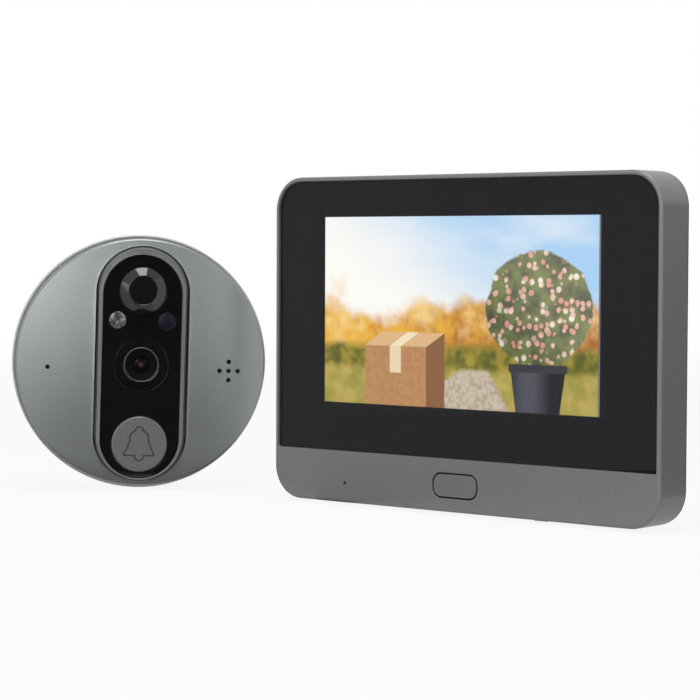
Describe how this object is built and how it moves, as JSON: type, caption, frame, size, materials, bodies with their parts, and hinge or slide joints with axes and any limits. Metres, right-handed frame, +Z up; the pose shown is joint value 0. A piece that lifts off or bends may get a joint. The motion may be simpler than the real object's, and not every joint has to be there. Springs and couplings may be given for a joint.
{
  "type": "peephole door camera",
  "caption": "Peephole door camera: a flat indoor monitor with screen, home key and slide switch on a hooked door bracket, and a round outdoor camera with lens, lamps and bell button.",
  "frame": {"origin": "middle of the door bracket's two screw holes, on the back of its sheet", "axes": "+X to the right as the screen is read, +Y from the reader to the door, +Z up"},
  "size_m": [0.2167, 0.0658, 0.0946],
  "materials": {
    "case_grey": "fine metallic grey lacquer",
    "key_grey": "fine metallic grey lacquer",
    "clear_glass": "polished",
    "mask_black": "printed black",
    "tape_black": "adhesive foam",
    "screen_cell": "lit picture",
    "backlight_white": "diffuser sheet",
    "part_black": "moulded",
    "switch_steel": "stamped",
    "board_green": "solder mask",
    "screw_steel": "plated",
    "shield_steel": "stamped",
    "battery_foil": "laminated foil",
    "contact_gold": "plated",
    "socket_ivory": "moulded",
    "cover_black": "fine grain",
    "bracket_steel": "galvanised sheet",
    "pad_foam": "adhesive foam",
    "shell_grey": "fine metallic grey lacquer",
    "trim_grey": "fine metallic grey lacquer",
    "panel_black": "polished",
    "bezel_black": "turned",
    "ring_chrome": "polished",
    "lens_coated": "coated",
    "chip_green": "packaged chip",
    "lamp_clear": "clear resin",
    "lamp_dark": "dark resin",
    "button_grey": "fine metallic grey lacquer",
    "base_grey": "fine metallic grey lacquer",
    "bush_brass": "turned",
    "rubber_black": "moulded"
  },
  "bodies": {
    "door_mount": {"wall_bracket": "bracket_steel", "bracket_pads": "pad_foam", "outer_shell": "shell_grey", "pill_trim": "trim_grey", "front_panel": "panel_black", "pir_lens": "panel_black", "pir_sensor": "shield_steel", "lens_bezel": "bezel_black", "lens_ring": "ring_chrome", "lens_barrel": "bezel_black", "lens_glass": "lens_coated", "lens_holder": "part_black", "image_sensor": "chip_green", "white_led": "lamp_clear", "ir_led": "lamp_dark", "bell_switch_case": "switch_steel", "camera_board": "board_green", "outdoor_speaker": "part_black", "outdoor_microphone": "contact_gold", "back_shell": "base_grey", "back_shell_screws": "screw_steel", "mounting_bushes": "bush_brass", "ribbon_grommet": "rubber_black", "door_gasket": "rubber_black"},
    "monitor": {"front_frame": "case_grey", "cover_glass": "clear_glass", "glass_mask": "mask_black", "glass_tape": "tape_black", "lcd_cell": "screen_cell", "lcd_backlight": "backlight_white", "home_switch_case": "switch_steel", "main_board": "board_green", "board_screws": "screw_steel", "wifi_module": "shield_steel", "battery_pack": "battery_foil", "monitor_speaker": "part_black", "monitor_microphone": "contact_gold", "ribbon_socket": "socket_ivory", "usb_socket": "shield_steel", "power_switch_case": "switch_steel", "back_cover": "cover_black", "back_cover_screws": "screw_steel"},
    "home_button": {"home_button": "key_grey", "home_switch_plunger": "part_black"},
    "power_knob": {"power_switch_knob": "part_black"},
    "bell_button": {"bell_button": "button_grey", "bell_switch_plunger": "part_black"}
  },
  "joints": [
    {"name": "monitor_lift", "type": "slide", "parent": "door_mount", "child": "monitor", "axis": [0, 0, 1], "range_m": [0, 0.006]},
    {"name": "home_button_press", "type": "slide", "parent": "monitor", "child": "home_button", "axis": [0, 1, 0], "range_m": [0, 0.0005], "stiffness_N_per_m": 400},
    {"name": "power_switch_slide", "type": "slide", "parent": "monitor", "child": "power_knob", "axis": [1, 0, 0], "range_m": [0, 0.002]},
    {"name": "bell_button_press", "type": "slide", "parent": "door_mount", "child": "bell_button", "axis": [-0.7431, 0.6691, 0], "range_m": [0, 0.0006], "stiffness_N_per_m": 400}
  ]
}
